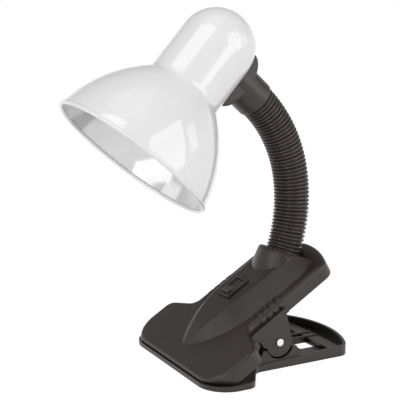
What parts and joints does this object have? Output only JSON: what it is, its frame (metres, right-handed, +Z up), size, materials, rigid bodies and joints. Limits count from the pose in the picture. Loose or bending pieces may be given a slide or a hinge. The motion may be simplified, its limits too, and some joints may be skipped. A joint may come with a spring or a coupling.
{
  "type": "clip-on reading lamp",
  "caption": "Clip-on reading lamp: a sprung clip base with a rocker switch carries a ribbed gooseneck and a bell-shaped shade that can be aimed.",
  "frame": {"origin": "on the lower jaw's underside, right below the pivot pin, in the plane of symmetry", "axes": "+X from the clip's mouth to its rear, +Y across the clip, +Z up from the resting face"},
  "size_m": [0.2253, 0.1426, 0.2698],
  "materials": {
    "jaw_plastic": "satin",
    "sleeve_plastic": "matte",
    "switch_plastic": "satin",
    "shade_paint": "gloss",
    "bright_steel": "polished",
    "spring_steel": "satin",
    "plated_steel": "satin",
    "brass": "satin",
    "holder_plastic": "satin",
    "block_plastic": "satin",
    "lead_sheath": "matte",
    "core_steel": "satin"
  },
  "bodies": {
    "lower_jaw": {"lower_jaw": "jaw_plastic", "pivot_pin": "bright_steel", "torsion_spring": "spring_steel"},
    "upper_jaw": {"upper_jaw": "jaw_plastic", "base_cover": "jaw_plastic", "base_cover_screws": "plated_steel", "switch_frame": "switch_plastic", "switch_terminals": "brass", "terminal_block": "block_plastic", "neck_lower_ferrule": "plated_steel", "neck_lower_nut": "plated_steel", "neck_segment_01": "sleeve_plastic", "neck_core": "core_steel", "neck_lead": "lead_sheath"},
    "rocker": {"switch_rocker": "switch_plastic"},
    "neck_02": {"neck_segment_02": "sleeve_plastic"},
    "neck_03": {"neck_segment_03": "sleeve_plastic"},
    "neck_04": {"neck_segment_04": "sleeve_plastic"},
    "neck_05": {"neck_segment_05": "sleeve_plastic"},
    "neck_06": {"neck_segment_06": "sleeve_plastic"},
    "neck_07": {"neck_segment_07": "sleeve_plastic"},
    "neck_08": {"neck_segment_08": "sleeve_plastic"},
    "neck_09": {"neck_segment_09": "sleeve_plastic"},
    "neck_10": {"neck_segment_10": "sleeve_plastic"},
    "neck_11": {"neck_segment_11": "sleeve_plastic"},
    "neck_12": {"neck_segment_12": "sleeve_plastic"},
    "neck_13": {"neck_segment_13": "sleeve_plastic"},
    "neck_14": {"neck_segment_14": "sleeve_plastic"},
    "head": {"neck_segment_15": "sleeve_plastic", "head_saddle": "jaw_plastic", "shade": "shade_paint", "neck_upper_ferrule": "plated_steel", "neck_upper_nut": "plated_steel", "lampholder_bracket": "plated_steel", "lampholder_cap": "holder_plastic", "lampholder_body": "holder_plastic", "lampholder_screw_shell": "brass", "lampholder_contact": "brass", "lampholder_nipple": "plated_steel", "lampholder_nut": "plated_steel"}
  },
  "joints": [
    {"name": "jaw_hinge", "type": "hinge", "parent": "lower_jaw", "child": "upper_jaw", "pos_m": [0, 0, 0.02], "axis": [0, 1, 0], "range_deg": [0, 40], "stiffness_Nm_per_rad": 0.9, "springref_deg": -40.11, "deforming": ["torsion_spring"]},
    {"name": "rocker_tilt", "type": "hinge", "parent": "upper_jaw", "child": "rocker", "pos_m": [-0.01478, 0, 0.05339], "axis": [0, -1, 0], "range_deg": [0, 16]},
    {"name": "neck_lower_bend", "type": "hinge", "parent": "upper_jaw", "child": "neck_02", "pos_m": [0.03275, 0, 0.08562], "axis": [0, -1, 0], "range_deg": [-4.5, 4.5], "deforming": ["neck_core", "neck_lead"]},
    {"name": "neck_sway", "type": "hinge", "parent": "neck_02", "child": "neck_03", "pos_m": [0.03498, 0, 0.09434], "axis": [0.9772, 0, -0.2122], "range_deg": [-4.5, 4.5], "deforming": ["neck_core", "neck_lead"]},
    {"name": "neck_lower_bend_03", "type": "hinge", "parent": "neck_03", "child": "neck_04", "pos_m": [0.03656, 0, 0.1032], "axis": [0, -1, 0], "range_deg": [-4.5, 4.5]},
    {"name": "neck_lower_bend_04", "type": "hinge", "parent": "neck_04", "child": "neck_05", "pos_m": [0.03749, 0, 0.11215], "axis": [0, -1, 0], "range_deg": [-4.5, 4.5]},
    {"name": "neck_sway_05", "type": "hinge", "parent": "neck_05", "child": "neck_06", "pos_m": [0.03775, 0, 0.12114], "axis": [1, 0, 0.0075], "range_deg": [-4.5, 4.5]},
    {"name": "neck_middle_bend", "type": "hinge", "parent": "neck_06", "child": "neck_07", "pos_m": [0.03735, 0, 0.13013], "axis": [0, -1, 0], "range_deg": [-4.5, 4.5], "deforming": ["neck_core", "neck_lead"]},
    {"name": "neck_middle_bend_07", "type": "hinge", "parent": "neck_07", "child": "neck_08", "pos_m": [0.03629, 0, 0.13906], "axis": [0, -1, 0], "range_deg": [-4.5, 4.5]},
    {"name": "neck_sway_08", "type": "hinge", "parent": "neck_08", "child": "neck_09", "pos_m": [0.03456, 0, 0.14789], "axis": [0.9721, 0, 0.2344], "range_deg": [-4.5, 4.5]},
    {"name": "neck_middle_bend_09", "type": "hinge", "parent": "neck_09", "child": "neck_10", "pos_m": [0.03206, 0, 0.15654], "axis": [0, -1, 0], "range_deg": [-4.5, 4.5]},
    {"name": "neck_upper_bend", "type": "hinge", "parent": "neck_10", "child": "neck_11", "pos_m": [0.0288, 0, 0.16492], "axis": [0, -1, 0], "range_deg": [-4.5, 4.5], "deforming": ["neck_core", "neck_lead"]},
    {"name": "neck_sway_11", "type": "hinge", "parent": "neck_11", "child": "neck_12", "pos_m": [0.02481, 0, 0.17299], "axis": [0.8755, 0, 0.4832], "range_deg": [-4.5, 4.5]},
    {"name": "neck_upper_bend_12", "type": "hinge", "parent": "neck_12", "child": "neck_13", "pos_m": [0.02012, 0, 0.18066], "axis": [0, -1, 0], "range_deg": [-4.5, 4.5]},
    {"name": "neck_sway_13", "type": "hinge", "parent": "neck_13", "child": "neck_14", "pos_m": [0.01476, 0, 0.18789], "axis": [0.7758, 0, 0.631], "range_deg": [-4.5, 4.5]},
    {"name": "neck_upper_bend_14", "type": "hinge", "parent": "neck_14", "child": "head", "pos_m": [0.00877, 0, 0.19461], "axis": [0, -1, 0], "range_deg": [-4.5, 4.5]}
  ],
  "couplings": [
    {"joint": "neck_lower_bend_03", "follows": "neck_lower_bend", "ratio": 1},
    {"joint": "neck_lower_bend_04", "follows": "neck_lower_bend", "ratio": 1},
    {"joint": "neck_sway_05", "follows": "neck_sway", "ratio": 1},
    {"joint": "neck_middle_bend_07", "follows": "neck_middle_bend", "ratio": 1},
    {"joint": "neck_sway_08", "follows": "neck_sway", "ratio": 1},
    {"joint": "neck_middle_bend_09", "follows": "neck_middle_bend", "ratio": 1},
    {"joint": "neck_sway_11", "follows": "neck_sway", "ratio": 1},
    {"joint": "neck_upper_bend_12", "follows": "neck_upper_bend", "ratio": 1},
    {"joint": "neck_sway_13", "follows": "neck_sway", "ratio": 1},
    {"joint": "neck_upper_bend_14", "follows": "neck_upper_bend", "ratio": 1}
  ]
}
